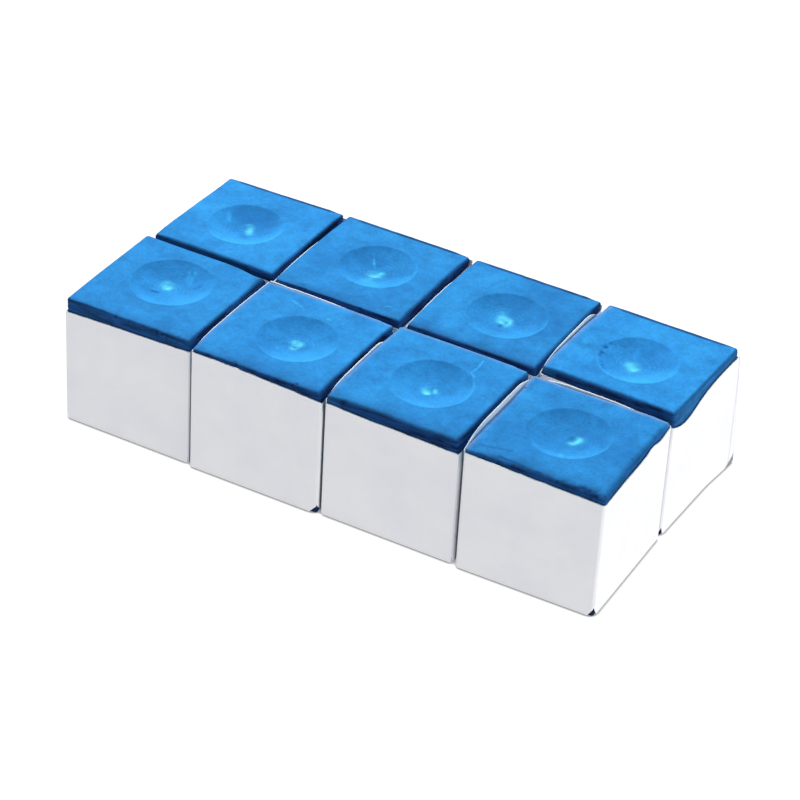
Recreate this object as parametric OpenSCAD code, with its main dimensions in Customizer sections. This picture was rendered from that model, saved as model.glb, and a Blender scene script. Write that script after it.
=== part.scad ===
// Eight billiard chalk cubes, standing loose in a block of two rows of four.
// Each one is a pressed block of chalk with a dish for the cue tip in its top face,
// glued into one paper label that is folded up from below against its four sides.
// X runs along the rows, Y towards the back row and Z up. The origin is at the middle
// of the block's footprint, on the surface that the cubes stand on.

/* [Cube] */
// Width of a cube, over its label
cube_w = 22; // [20:0.1:24]
// Height of a cube, from the label's underside to the top face
cube_h = 21.1; // [19:0.1:24]
// Radius of the upright edges, over the label
edge_r = 0.8; // [0.5:0.05:1.5]
// Radius of the worn edges round the top face
top_r = 0.6; // [0.2:0.05:1.2]

/* [Label] */
// Thickness of the paper
label_t = 0.15; // [0.1:0.01:0.25]
// Gap between two flaps at an upright edge
flap_gap = 0.1; // [0.05:0.01:0.3]
// Width of the notch at a bottom corner, along the face
notch_w = 1.3; // [0.8:0.1:2.5]
// Height of the notch at a bottom corner
notch_h = 1.6; // [0.8:0.1:3]

/* [Dish] */
// Depth of the dish for the cue tip
dish_depth = 1.4; // [0.5:0.1:3]
// Radius of the small pit at the bottom of the dish, at its mouth
pit_r = 0.9; // [0.4:0.1:2]
// Depth of the pit
pit_depth = 0.3; // [0.1:0.05:0.8]

/* [Block] */
// Usual gap between two cubes of a row
gap_x = 0.4; // [0.4:0.05:2]
// Usual gap between the two rows
gap_y = 0.4; // [0.4:0.05:2]

/* [Hidden] */
$fn = 96;

// Every table below runs along the front row, then along the back row.
places = ["front_1", "front_2", "front_3", "front_4", "back_1", "back_2", "back_3", "back_4"];
row_length = 4;

// How each cube stands off the even grid: its shift along X and Y, and its turn in degrees.
nudges = [
    [-0.1, 0, -0.1], [-0.1, -0.4, 0.2], [-0.2, 0, 0], [-0.1, -0.1, 0.9],
    [0.3, 0.2, -0.1], [0.3, -0.4, 0], [0.1, 0.2, 0], [0.1, 0.4, -1.3]
];

// How much wider each cube is than cube_w, and how much taller than cube_h.
extra_w = [-0.1, 0, -0.1, 0.1, 0, 0.1, -0.3, 0];
extra_h = [0.4, -0.1, -0.1, -0.4, -0.1, 0.2, -0.2, 0.3];

// Each dish: how far its middle lies from the cube's axis along X and Y, and its diameter.
dishes = [
    [-0.35, 1.6, 12.7], [0.4, -0.1, 12.1], [0.2, 0.2, 12.2], [-0.2, 0.6, 12.3],
    [-0.8, -0.05, 11.7], [0.1, 0.9, 11.9], [0.4, -0.3, 12.2], [0, -1.1, 12]
];

// How far each pit lies from the middle of its dish along X and Y.
pits = [
    [-0.85, 0.25], [-0.2, 0], [-0.4, -0.35], [0.55, 0.25],
    [0.05, 0.8], [-0.15, -0.6], [-0.35, 0.15], [-0.45, -0.4]
];

// Sides and corners are counted anticlockwise from above, from the front side and the
// front left corner. How far each label's edge lies below the top face at its corners.
drops = [
    [2.2, 1.6, 1.2, 0.9], [0.7, 1.1, 0.6, 0.4], [1.4, 1.6, 0.6, 0.4], [0.6, 1.2, 0.5, 0.3],
    [1, 1, 0.8, 0.9], [0.7, 0.9, 0.5, 0.4], [0.7, 0.9, 0.5, 0.4], [0.8, 2.2, 1.8, 0.3]
];

// How much further each label's edge dips at the middle of its sides.
dips = [
    [0.1, 0.1, 0, 0], [-0.1, 0.1, 0, -0.1], [0.2, -0.2, 0, -0.2], [0.2, -0.3, 0.1, -0.1],
    [0.1, 0, 0.1, 0], [0, 0.1, 0, -0.1], [0.1, 0, 0, -0.1], [0.1, 0.3, 0.1, -0.1]
];

// How far each label's edge swings: down before the middle of the right side, up after it.
swings = [0, 0, 0.1, 0, 0, 0, 0.1, 0.9];

chalk_edge_r = edge_r - label_t;
pitch = [cube_w + gap_x, cube_w + gap_y];
edge_steps = 12;
clear = 1;

// How far a pit's mouth stands above the lowest point of its dish.
pit_rise = 0.05;

function width(i) = cube_w + extra_w[i];
function chalk_width(i) = width(i) - 2 * label_t;
function height(i) = cube_h + extra_h[i];
function column(i) = i % row_length - (row_length - 1) / 2;
function row(i) = i < row_length ? -0.5 : 0.5;
function at_x(i) = column(i) * pitch.x + nudges[i].x;
function at_y(i) = row(i) * pitch.y + nudges[i].y;

// Half the width of a turned cube's footprint, along X or Y alike.
function reach(i) = (width(i) / 2 - edge_r) * (cos(nudges[i].z) + abs(sin(nudges[i].z))) + edge_r;

cubes = [0:len(places) - 1];
middle_x = (max([for (i = cubes) at_x(i) + reach(i)]) + min([for (i = cubes) at_x(i) - reach(i)])) / 2;
middle_y = (max([for (i = cubes) at_y(i) + reach(i)]) + min([for (i = cubes) at_y(i) - reach(i)])) / 2;

// Height of a label's edge, a fraction t of the way along one of its sides.
function edge_z(i, side, t) =
    height(i) - drops[i][side] * (1 - t) - drops[i][(side + 1) % 4] * t
    - dips[i][side] * sin(180 * t) - (side == 1 ? swings[i] * sin(360 * t) : 0);

module stand(i) {
    translate([at_x(i) - middle_x, at_y(i) - middle_y, 0])
        rotate([0, 0, nudges[i].z])
            children();
}

module rounded_square(w, r) {
    square([w, w - 2 * r], center = true);
    square([w - 2 * r, w], center = true);
    for (x = [-1, 1], y = [-1, 1])
        translate([x * (w / 2 - r), y * (w / 2 - r)])
            circle(r);
}

// A long bar along X with rounded upper edges, which shapes two sides of the chalk.
module top_bar(w, h, r) {
    rotate([90, 0, 90])
        linear_extrude(w + 2 * clear, center = true)
            union() {
                translate([-w / 2, 0]) square([w, h - r]);
                translate([-w / 2 + r, 0]) square([w - 2 * r, h]);
                for (x = [-1, 1]) translate([x * (w / 2 - r), h - r]) circle(r);
            }
}

// The cap of a ball that meets a level face in a circle of radius r and reaches depth below it.
module dished_cut(r, depth) {
    ball_r = (r * r + depth * depth) / (2 * depth);
    translate([0, 0, ball_r - depth]) sphere(ball_r);
}

module chalk_block(i) {
    h = height(i);
    difference() {
        intersection() {
            translate([0, 0, label_t]) linear_extrude(h) rounded_square(chalk_width(i), chalk_edge_r);
            top_bar(chalk_width(i), h, top_r);
            rotate([0, 0, 90]) top_bar(chalk_width(i), h, top_r);
        }
        translate([dishes[i].x, dishes[i].y, h]) dished_cut(dishes[i].z / 2, dish_depth);
        translate([dishes[i].x + pits[i].x, dishes[i].y + pits[i].y, h - dish_depth + pit_rise])
            dished_cut(pit_r, pit_depth);
    }
}

// Everything above the label's edge on one side.
module edge_trim(i, side) {
    w = width(i);
    top = height(i) + clear;
    outline = [
        [-w / 2 - clear, edge_z(i, side, 0)],
        for (k = [0:edge_steps]) [(k / edge_steps - 0.5) * w, edge_z(i, side, k / edge_steps)],
        [w / 2 + clear, edge_z(i, side, 1)],
        [w / 2 + clear, top],
        [-w / 2 - clear, top]
    ];
    rotate([0, 0, 90 * side])
        translate([0, -w / 2 + 1.5 * edge_r, 0])
            rotate([90, 0, 0])
                linear_extrude(1.5 * edge_r + clear)
                    polygon(outline);
}

// The gap between two flaps, and the notch below it.
module flap_seam(i, corner) {
    inner = (width(i) / 2 - notch_w / 2) * sqrt(2) - 3 * label_t;
    half_w = notch_w / sqrt(2);
    rotate([0, 0, 90 * corner - 45])
        translate([0, -inner, 0])
            rotate([90, 0, 0])
                linear_extrude(3 * clear)
                    union() {
                        polygon([
                            [-half_w, -clear], [half_w, -clear], [half_w, 0], [0, notch_h], [-half_w, 0]
                        ]);
                        translate([-flap_gap / 2, 0]) square([flap_gap, height(i) + clear]);
                    }
}

module label_sheet(i) {
    difference() {
        linear_extrude(height(i)) rounded_square(width(i), edge_r);
        translate([0, 0, label_t]) linear_extrude(height(i)) rounded_square(chalk_width(i), chalk_edge_r);
        for (side = [0:3]) edge_trim(i, side);
        for (corner = [0:3]) flap_seam(i, corner);
    }
}

module chalk(i) {
    color("dodgerblue") stand(i) chalk_block(i);
}

module label(i) {
    color("whitesmoke") stand(i) label_sheet(i);
}

for (i = cubes) {
    chalk(i);
    label(i);
}
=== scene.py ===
import itertools
import math

import bpy
import numpy as np
from mathutils import Matrix, Vector


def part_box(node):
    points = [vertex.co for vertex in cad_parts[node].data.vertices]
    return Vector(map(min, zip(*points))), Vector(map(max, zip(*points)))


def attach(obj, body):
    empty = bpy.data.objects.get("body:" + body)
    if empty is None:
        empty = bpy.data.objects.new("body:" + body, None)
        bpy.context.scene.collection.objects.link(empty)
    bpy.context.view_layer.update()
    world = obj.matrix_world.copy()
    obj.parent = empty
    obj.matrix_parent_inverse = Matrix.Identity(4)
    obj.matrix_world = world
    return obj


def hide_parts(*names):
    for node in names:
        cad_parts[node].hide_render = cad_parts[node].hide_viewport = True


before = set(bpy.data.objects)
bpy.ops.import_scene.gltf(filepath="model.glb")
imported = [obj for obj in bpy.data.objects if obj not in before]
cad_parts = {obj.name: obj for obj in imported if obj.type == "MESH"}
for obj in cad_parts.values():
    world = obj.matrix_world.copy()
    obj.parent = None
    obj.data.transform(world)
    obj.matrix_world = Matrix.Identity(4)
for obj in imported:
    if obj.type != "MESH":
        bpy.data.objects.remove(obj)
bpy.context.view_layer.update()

# The looks of a block of loose cue chalk cubes: pressed blue chalk in folded paper labels.
# All shapes are worked out in millimetres, in each cube's own frame: its axis through the
# origin, its front towards -Y, Z up from the surface that it stands on. Sides and corners are
# counted anticlockwise from above, from the front side and the front left corner.

MM = 0.001
SIDES = 4

# The way out of each side, whether each corner is at the right and at the back, and the cosine
# and sine of the turn from the front to each side
OUTWARD = ((0, -1), (1, 0), (0, 1), (-1, 0))
CORNERS = ((0, 0), (1, 0), (1, 1), (0, 1))
TURNS = ((1, 0), (0, 1), (-1, 0), (0, -1))

# The least length to divide by, and how near a point is to a side that it counts as on it
TINY = 1e-9
ON_SIDE = 1e-6

# Turns that are tried on a cube's CAD solids, in degrees, to measure how it stands
MAX_TURN, TURN_STEP = 3, 0.05

# The chalk's skin, from its foot up: its steps, fine near the top edges
CHALK_FOOT = 0.15
TOP_FINE, TOP_COARSE = 0.1, 0.15
EDGE_BAND = 1.3
BAND, BAND_STEP = 4.5, 0.15
LOW_RINGS = 6

# Edges of the chalk: the share of a label's lean that they take up, how far from the edge that
# reaches, how far inside the label the hidden part stands, and where that part begins
CORNER_R = 0.45
MIN_ROUNDING = 0.05
LEAN_SHARE, LEAN_DEPTH, LEAN_WIDTH = 0.75, 3.0, 1.5
TUCK, TUCK_FROM, TUCK_TO = 0.2, 1.5, 3.0
OUTER_SKIN = 0.1
ON_TOP = (0.4, 0.95)

# Crumbs out of the top edges, and pressed layers in the bare sides
CRUMB_DEPTH, CRUMB_REACH = 0.25, 1.1
CRUMB_RARE, CRUMB_SPREAD = 0.75, 1.1
BARE_FROM = (0.0, 0.6)
LAYER_SIZE, LAYER_STRETCH, LAYER_STEP = 1.3, (2.6, 2.6, 0.3), (0, 0.7)
LAYER_DEPTH, SIDE_DENT = 0.1, 0.02

# Dish, its lip, tool rings and pit, and what has broken out of its edge. LIP_AT, LIP_WIDTH,
# RINGS_IN, RINGS_OUT, BREAK_AT and BREAK_WIDTH are shares of its radius, and RING_RATE is in
# radians to a millimetre of its diameter.
DISH_DEPTH = 1.4
LIP_H, LIP_AT, LIP_WIDTH = 0.012, 1.01, 0.03
RING_H, RING_RATE, RING_MEAN = 0.014, 5.2, 0.55
RINGS_IN, RINGS_OUT = (0.04, 0.12), (0.95, 0.25)
PIT_R, PIT_DEPTH = 0.55, 0.2
PIT_LIP_R, PIT_LIP_WIDTH, PIT_LIP_H = 1.0, 0.3, 0.07
BREAK_AT, BREAK_WIDTH, BREAK_DEPTH, BREAK_DARK = 0.93, 0.09, 0.16, 1.4
BREAK_STEP = (-0.1, 0.6)

# The middle share of a stretch round the dish that has its full strength
AROUND_FULL = 0.3

# What a scratch of full paleness does
SCRATCH_DEPTH, SCRATCH_PALE = 0.09, 2.2

# Paleness of the powder: in clouds, and on the lip with a painted highlight where it stands up, and
# painted light and shade on the dish's lit and shaded sides and its tool rings
CLOUD_SIZE, CLOUD_PALE = 4.5, 0.3
LIP_PALE, RAISED_PALE = 0.08, 0.5
LIT_SIDE = (0.62, -0.78)
LIT_PALE, LIT_STEP, LIT_INSIDE = 0.7, (0.0, 0.9), (1.04, 0.98)
SHADED_DARK, SHADED_STEP, SHADED_INSIDE = 0.2, (0.1, 0.9), (1.02, 0.97)
RING_PALE = 0.25

# Marks on the chalk: beside its edges (the dark of the sides, painted shade above the label's edge
# and painted light along the edge), over its bare sides, and at its foot (painted shade)
FADE_REACH, WORN_REACH = 1.1, 0.4
HEM_REACH, HEM_ABOVE, HEM_EDGE = 0.3, (-0.55, -0.15), (0.1, 0.5)
RAGGED_LEAST, RAGGED_MORE = 0.03, 0.4
SKIRT_STEP = (0.0, 0.85)
INK_LEAST, INK_SOFT, INK_STRENGTH = 0.02, 0.2, 0.8
BITE_DEPTH, BITE_STRENGTH, BITE_STEP = 0.55, 0.85, (0.0, 0.7)
BITE_LEAST, BITE_SOFT = 0.08, 0.12
STRATA_MEAN = 0.5
# Painted shade over the chalk's foot, from 5 mm down to 3 mm up
FOOT_DARK = (5, 3)

# Label: its paper, folds, seams and notches, and the curl, wave and flare of its flaps
PAPER_T = 0.17
FOLD_R = 0.3
FOLD_STEPS = 6
SEAM = 0.012
NOTCH_H = 1.6
CURL_DEPTH = 3.0
WAVE_FROM = (0.5, 4)
FLARE_FROM = 0.3

# Columns of a flap's grid, and its rows above the fold as shares of the way up and a count
END_SHARE, END_STEPS, MIDDLE_STEPS = 0.08, 10, 72
RISE = ((0, 0.1, 5), (0.1, 0.85, 17), (0.85, 0.96, 6), (0.96, 1, 8))

# Marks on the label: a painted highlight along its top edge, chalk dust, and painted shade in the
# gaps, at a corner's foot and along folds. DUST is for each side, where it faces another cube.
DUST = (0.25, 0.2, 0.1, 0.9)
DUST_SIZE, DUST_LEAST, DUST_SPREAD = 3.0, 0.75, 0.25
RIM_DUST, RIM_DUST_STEP = 0.75, (0, 0.7)
FOOT_DUST, FOOT_DUST_STEP = 0.12, (4.0, 0.8)
RIM_WIDTH, CREASE_WIDTH = 0.25, 0.17
GRIME_FADE_IN, GRIME_FADE_OUT = (0, 0.3), (1.4, 0.8)
SCUFF_SOFT = 0.2

# Where the noise starts, how far apart a label's flaps lie in it, and the labels' own seeds
NOISE_ORIGIN = 0.37
LANE = 50.0
LABEL_SEED = 100

# Layers of noise, each as the size of its features in millimetres and its strength
CRUMB_NOISE = ((1.2, 0.55), (0.45, 0.45))
GRAIN_NOISE = ((0.35, 0.012), (1.1, 0.02), (7.0, 0.05))
SIDE_NOISE = ((5.0, 0.02),)
RING_WANDER = ((3.0, 1.5),)
RING_NOISE = ((1.6, 0.75),)
BREAK_NOISE = ((0.5, 1.0), (0.9, 0.4))
SKIRT_NOISE = ((0.9, 0.6), (0.4, 0.5))
BITE_NOISE = ((0.8, 0.6), (0.35, 0.6))
PAPER_EDGE_NOISE = ((1.2, 0.05), (0.4, 0.03))
PAPER_WAVES = ((6.0, 0.02),)

# How things wander, as the size of the features in millimetres and their share of the value
ROUNDING_VARIES = (3.0, 0.06)
DISH_VARIES = (3.0, 0.012)
LIP_VARIES = (2.0, 0.8)
PATCH_VARIES = (0.8, 0.3)
SCRATCH_VARIES = (0.5, 0.5)
FADE_VARIES = (1.8, 0.35)
WORN_VARIES = (1.0, 0.4)
SPOT_VARIES = (0.5, 0.3)

# Colours
AZURE = (0.021, 0.24, 0.61)
AZURE_SPREAD = 0.23
# These two powder colours also paint the light on the dish's lit side and the shade on its far side
PALE_POWDER = (0.045, 0.45, 0.98)
DEEP_POWDER = (0.008, 0.12, 0.38)
DARK_LAYER, LIGHT_LAYER = (0.002, 0.014, 0.068, 1), (0.009, 0.064, 0.23, 1)
# Painted light along the chalk's top edge
WORN_EDGE = (0.42, 0.44, 0.60, 1)
# Dark of crumbs, also painted as shade over the chalk's foot
CRUMB_COLOUR = (0.001, 0.010, 0.035, 1)
# Painted highlight in the pits
GLINT_COLOUR = (0.12, 0.72, 1.0, 1)
PAPER_DARK, PAPER_LIGHT = (0.855, 0.865, 0.925, 1), (0.905, 0.91, 0.945, 1)
FIBRE_COLOUR = (0.70, 0.72, 0.76, 1)
# Painted highlight along the label's top edge
PAPER_RIM = (0.87, 0.95, 1.0, 1)
DUST_COLOUR = (0.14, 0.42, 0.66, 1)
# Painted shade in the gaps between cubes and at a corner's foot
GAP_COLOUR = (0.21, 0.25, 0.26, 1)
# Painted shade along folds
CREASE_COLOUR = (0.24, 0.28, 0.38, 1)

# Sockets of the mix node, for colours
SHARE_IN, COLOUR_A, COLOUR_B, COLOUR_OUT = 0, 6, 7, 2

# Materials: noise as scale, detail and roughness, bumps as strength and height in metres, and
# the most that each mark covers
CHALK_MOTTLE, CHALK_GRAIN = (450, 6, 0.72), (2600, 3, 0.55)
PAPER_CLOUD, PAPER_FIBRE = (130, 3, 0.55), (3500, 4, 0.55)
MOTTLE_SHARE, GRAIN_HEIGHT, CLOUD_HEIGHT = 0.6, 0.6, 2.0
GRAIN_SPREAD, LAYER_SPREAD = 0.2, 0.2
PALE_MOST, CRUMB_MOST, GLINT_MOST, FIBRE_MOST = 0.9, 0.8, 0.92, 0.08
DUST_PATCHY = (0.5, 1.0)
CHALK_ROUGHNESS, PAPER_ROUGHNESS = (0.78, 0.95), (0.62, 0.75)
CHALK_SPECULAR, PAPER_SPECULAR = 0.1, 0.35
CHALK_BUMP, PAPER_BUMP = (0.45, 0.0001), (0.25, 0.00005)
NOISE_SPAN = (0.3, 0.7)
POWDER_SPAN, CLOUD_SPAN = (0.36, 0.64), (0.35, 0.65)
PALE_SPAN, DEEP_SPAN = (0.0, 1.6), (0.0, -1.4)

# Camera and light, as in the photo
AIM = Vector((1.9, -3.0, 10.0)) * MM
CAMERA_AWAY = 458.7 * MM
CAMERA_TURN, CAMERA_RISE, CAMERA_ROLL = 27.53, 34.35, 3.43
LENS, SENSOR = 139.0, 36
CLIP = (0.01, 20)
LAMP_AWAY = 0.9
SKY_STRENGTH = 0.36
FLOOR_HALF = 3.0
FLOOR_DROP = 0.00002
CONTACT_REACH, CONTACT_SPAN, CONTACT_GLOW = 0.0009, (0.4, 0.78), (0.3, 1.15)


def side(**values):
    """One side of a cube. Values in a row are evenly spaced from its left end to its right
    end, seen from outside.
    edge: how far the label's edge lies below the chalk's top. curl: how far it leans outwards.
    rounding: the radius of the chalk's top edge. chips: how crumbled that edge is.
    inset: how far in the chalk stands from the label's face.
    shade: how dark the bare side is, and fade: how much of that shows on the top beside it.
    ink: how far the dark of the side runs over the top.
    worn: how much painted light brightens the top's edge on this side.
    grime: where a line of painted shade runs up the label in the gap to the next cube, from its left
    end.
    scuff: the width and height of a dark corner of painted shade at the foot of its right end.
    creases: lines of painted shade along folds, by their distance from the right end at the top and
    the foot, and strength."""
    usual = dict(
        curl=(0, 0), rounding=(0.2, 0.2), chips=(0.1, 0.1), inset=0.15, shade=1.0, fade=0.0, ink=0.0,
        worn=0.0, grime=None, scuff=None, creases=(),
    )
    return usual | values


def cube(**values):
    """One cube's looks. seed: of its noise. tone: the brightness of its chalk.
    dish: the dish's middle and diameter. pit: the pit's place from there.
    rim: where the dish's lip stands up and is painted with a highlight, as angle, spread and height.
    crumble: where the dish's edge has broken away, as angle and spread.
    corner: the radius of the label's upright edges.
    notches: how wide the label's bottom corners are cut.
    buried: the sides that face another cube.
    skew: a corner of the chalk that is off square, and how far along X and Y.
    flare: a corner where the label's foot stands off, and how far along its two sides and out.
    blush: soft paler and darker patches, as x, y, radius and paleness; some darker ones paint the
    shade of a dish's far side.
    streaks: scratches, as paleness, width and path.
    glint: painted highlights in the pit, and painted spots of shade below 0, as radius, strength and
    path."""
    usual = dict(
        corner=0.4, notches=(0.3, 0.3, 0.3, 0.3), streaks=(), crumble=None, skew=(0, 0, 0),
        flare=(-1, 0, 0),
    )
    return usual | values


FAR_SIDE = side(edge=(0.6, 0.5), curl=(0.46, 0.46), rounding=(0.2, 0.15), inset=0.02, ink=0.5)
LOOKS = {}

LOOKS["front_1"] = cube(
    seed=11, tone=1.01, dish=(-0.35, 1.6, 12.7), pit=(-0.85, 0.25), rim=(-60, 50, 0.03),
    corner=0.3, notches=(0.3, 0.1, 0.1, 0.3), buried=(1, 2),
    sides=(
        side(
            edge=(2.3, 2.1, 1.9, 1.8, 1.6), rounding=(0.5, 0.5, 0.6, 0.7), shade=0.87,
            fade=0.28, chips=(0.4, 0.5, 0.6, 0.8, 0.9),
        ),
        side(edge=(1.6, 1.6, 1.5, 1.6, 2.4), rounding=(0.9, 0.9, 0.9, 1.4), grime=0.02),
        side(edge=(2.7, 1.9, 1.6), rounding=(1.9, 0.55, 0.45, 0.45, 0.3), inset=0.05, shade=0.8),
        side(edge=(0.9, 1.2, 2, 2.3), rounding=(0.3, 0.2, 0.3)),
    ),
    blush=((7, 3, 3.5, 0.35), (-8, 7, 4, -0.2), (-7, -8, 4, -0.25), (5, -9, 4, -0.3)),
    streaks=(
        (0.35, 0.22, ((-0.25, 6.25), (0.3, 5.35), (0.85, 4.05))),
        (0.5, 0.2, ((0.75, 6.5), (1.05, 6.05))),
        (0.3, 0.25, ((0.95, 5.35), (1.65, 3.5))),
        (-0.8, 0.22, ((-2.3, -0.6), (-1.95, -0.5), (-1.5, -0.25))),
        (-0.3, 0.4, ((2.6, 3.3), (3.3, 3.85))),
    ),
    glint=((0.8, 1, ((-0.15, 0.1), (0.1, -0.15))), (0.7, 0.4, ((-0.45, 0.8), (-0.2, 0.4)))),
)

LOOKS["front_2"] = cube(
    seed=12, tone=1.05, dish=(0.4, -0.1, 12.1), pit=(-0.2, 0), rim=(-60, 60, 0.03),
    corner=0.32, notches=(0.1, 1.4, 0.3, 0.3), buried=(1, 2, 3),
    sides=(
        side(
            edge=(0.45, 0.5, 0.68, 0.9, 1.27), rounding=(0.45, 0.5, 0.55, 0.6), fade=0.45,
            chips=(0.4, 0.5, 0.5, 0.4, 0.6),
        ),
        side(
            edge=(1.5, 1.5, 1.5, 1.5, 1.5), curl=(-0.1, -0.25, -0.25),
            rounding=(1, 0.95, 0.95, 0.95), inset=0.45, grime=0.33,
        ),
        side(
            edge=(1.3, 0.5, 0.2, 0, -0.1, -0.1, -0.1), curl=(0, 0.05, 0.1, 0.15),
            rounding=(0.2, 0.15), inset=0.05, shade=0.2, worn=0.26,
        ),
        side(
            edge=(0, 0.1, 0.05, 0.05, 0.1, 0.4), curl=(0.1, 0.32, 0.34, 0.32, 0),
            rounding=(0.15, 0.15), inset=0.05, shade=0.1, worn=0.12,
        ),
    ),
    blush=(
        (-8.7, -5.3, 1.2, 0.5), (-8, 6, 4, 0.2), (9.3, 0, 1.6, 0.25), (2, 8, 2, 0.2),
        (0, -9, 4, -0.2),
    ),
    streaks=(
        (0.8, 0.16, ((-5.4, 8.3), (-4.4, 7.9))),
        (0.3, 0.14, ((-4.4, 7.9), (-3.2, 7.5), (-2.6, 6.8))),
        (0.5, 0.2, ((1.5, 6.8), (1.9, 6.7))),
        (0.45, 0.25, ((-1.55, -2.6), (-1.45, -2.5))),
    ),
    glint=(
        (0.58, 1, ((-0.4, 0.6), (0.35, 0.55))),
        (0.45, 0.8, ((0, -0.95), (0.2, -0.85))),
        (0.28, 0.4, ((0.5, 0.3), (0.5, -0.6))),
        (0.28, 0.4, ((-0.5, 0.2), (-0.3, -0.6))),
        (0.25, -0.5, ((0.05, -0.3), (0.1, -0.25))),
    ),
)

LOOKS["front_3"] = cube(
    seed=13, tone=1.03, dish=(0.2, 0.2, 12.2), pit=(-0.4, -0.35), rim=(10, 45, 0.06),
    corner=0.32, notches=(0.25, 0.1, 0.3, 0.3), buried=(1, 2, 3),
    sides=(
        side(edge=(1.2, 1.5, 1.6, 1.7, 1.8), rounding=(0.9, 1.1, 1.1, 1.2), fade=0.35),
        side(
            edge=(1.8, 1.7, 1.6, 1.5, 1.5, 1.6), curl=(-0.1, -0.2, -0.2),
            rounding=(1, 0.95, 0.95, 1), inset=0.4, grime=0.6,
        ),
        side(
            edge=(1.6, 0.6, 0.4, 0.6), curl=(0, 0.05, 0), rounding=(0.2, 0.15), inset=0.05,
            shade=0.2, worn=0.2,
        ),
        side(
            edge=(0.9, 0.8, -0.2, -0.2, -0.15, -0.1, 0.1, 0.8),
            curl=(0, 0.1, 0.3, 0.3, 0.3, 0.28, 0.2, 0), rounding=(0.15, 0.15), inset=0.05,
            shade=0.1, worn=0.18,
        ),
    ),
    blush=((-5, -7, 2.5, 0.3), (-9, 8, 3, 0.25), (8, -7, 4, -0.3), (0, -9.5, 3, -0.2)),
    streaks=(
        (0.7, 0.13, (
            (4.6, 4.9), (4.1, 5.4), (3.7, 5.7), (3.7, 6.5), (3.9, 7.3), (3.8, 8.4), (3.7, 9.4),
        )),
    ),
    glint=(
        (0.6, 1.25, ((-0.25, 0.1), (0, -0.3))),
        (0.4, 0.7, ((0.8, 0.75), (1.05, 0.35))),
        (0.2, -0.25, ((0.3, 1.1), (0.7, -0.1))),
    ),
)

LOOKS["front_4"] = cube(
    seed=14, tone=1, dish=(-0.2, 0.6, 12.3), pit=(0.55, 0.25), rim=(-40, 60, 0.02),
    corner=0.55, notches=(0.1, 1, 0.25, 0.3), buried=(2, 3),
    sides=(
        side(
            edge=(0.5, 0.7, 0.9, 1.1, 1.25), rounding=(0.7, 0.9, 1, 0.9), shade=0.92,
            fade=0.35, chips=(0.3, 0.7, 0.6, 0.5, 0.9, 0.6),
        ),
        side(
            edge=(1.25, 1.1, 1.05, 1.05, 1, 0.75, 1.1, 0.6), rounding=(1.2, 1.3, 1.2, 1),
            shade=0.62, chips=(0.6, 0.3, 0.3, 0.4),
        ),
        side(
            edge=(0.9, 0.3, -0.1, -0.2, -0.2, 0.5), curl=(0, 0, 0.04, 0),
            rounding=(0.4, 0.15, 0.15), inset=0.08, shade=0.1, worn=0.4,
        ),
        side(
            edge=(0.6, -0.55, -0.7, -0.7, -0.65, -0.45, 0.3),
            curl=(0.02, 0.24, 0.28, 0.34, 0.4, 0.3, 0.05), rounding=(0.15, 0.15), inset=0.06,
            shade=0.05, worn=0.36,
        ),
    ),
    blush=(
        (-9.5, 5.5, 1.5, 0.5), (3, -7, 3, 0.25), (-8, -2, 4, -0.3), (9.5, 0, 3.5, -0.45),
        (0, -10, 3, -0.3),
    ),
    streaks=(
        (-0.35, 0.2, ((-9.6, -8.8), (-7.5, -8.3), (-5.2, -7.7))),
        (-1.1, 0.34, ((-6, -9.9), (-4.4, -10.1), (-3.2, -10.1), (-2, -10.4), (0.5, -10.5))),
        (-1.1, 0.4, ((6.6, -10.6), (7.2, -10.1), (8, -10.4))),
        (0.3, 0.15, ((-4.5, -3.2), (-3.8, -3.7), (-2.9, -4.3))),
        (0.4, 0.3, ((0.8, -4.2), (1.2, -4.9))),
    ),
    glint=(
        (0.62, 0.95, ((0.7, 0.55), (0.6, 0.1), (0.2, -0.5))),
        (0.55, -0.1, ((-0.6, 0.9), (-0.5, 0.6))),
    ),
)

LOOKS["back_1"] = cube(
    seed=21, tone=1.05, dish=(-0.8, -0.05, 11.7), pit=(0.05, 0.8), rim=(-90, 60, 0.01),
    buried=(0, 1), skew=(3, 0.5, -0.45),
    sides=(
        side(
            edge=(1.3, 1.2, 1.2), curl=(-0.5, -0.5), rounding=(0.9, 0.95, 0.9), inset=0.72,
            shade=0.86, fade=0.1,
        ),
        side(edge=(1.4, 1.4, 1.4), curl=(-0.35, -0.35), rounding=(0.9, 0.9, 0.9), inset=0.55),
        side(edge=(0.8, 0.9), curl=(0.36, 0.36), rounding=(0.2, 0.3), inset=0.05, ink=0.5),
        side(edge=(0.9, 1.2), rounding=(0.6, 0.3, 0.3)),
    ),
    # The two darker patches over the dish's upper half paint the shade of its far side
    blush=(
        (-9, 2, 3, 0.2), (7.5, -3, 3, 0.25), (3, -8, 3, 0.2), (0.5, 3.4, 3, -0.4),
        (-3, 3.6, 2, -0.3), (-4, -2.5, 2.5, 0.3),
    ),
    streaks=((0.4, 0.4, ((-5.1, 2), (-4.3, 0.9))),),
    glint=(
        (0.6, 0.75, ((0.05, 0.4), (0.4, -0.3), (0.75, -0.95))),
        (0.5, 0.35, ((-0.3, 0.9), (0, 0.4))),
    ),
)

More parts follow.
